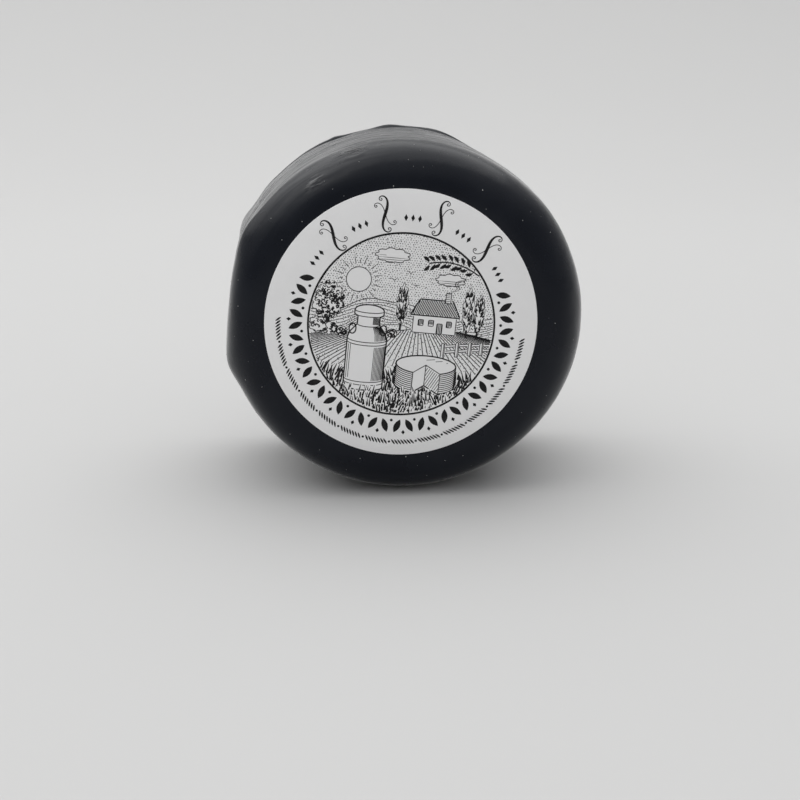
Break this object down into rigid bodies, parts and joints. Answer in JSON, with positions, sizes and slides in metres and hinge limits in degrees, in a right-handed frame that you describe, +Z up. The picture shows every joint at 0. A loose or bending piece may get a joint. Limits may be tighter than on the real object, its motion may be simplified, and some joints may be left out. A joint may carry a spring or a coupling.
{
  "type": "waxed goat cheddar truckle",
  "caption": "Small round truckle of goat cheddar in black wax, standing on its rim, with a round printed paper label on its face.",
  "frame": {"origin": "on the table, under the middle of the object's box", "axes": "+Z up as it stands on its rim, -Y the way the labelled face looks, +X to the right of someone who looks at that face"},
  "size_m": [0.0798, 0.0456, 0.0791],
  "materials": {
    "black_wax": "satin cheese wax, almost black and a little blue, with fine dust and scuffs",
    "label_paper": "smooth white label paper",
    "label_ink": "matte black printing ink on the label"
  },
  "bodies": {
    "root": {"wax_truckle": "black_wax", "paper_label": "label_paper"}
  },
  "joints": []
}
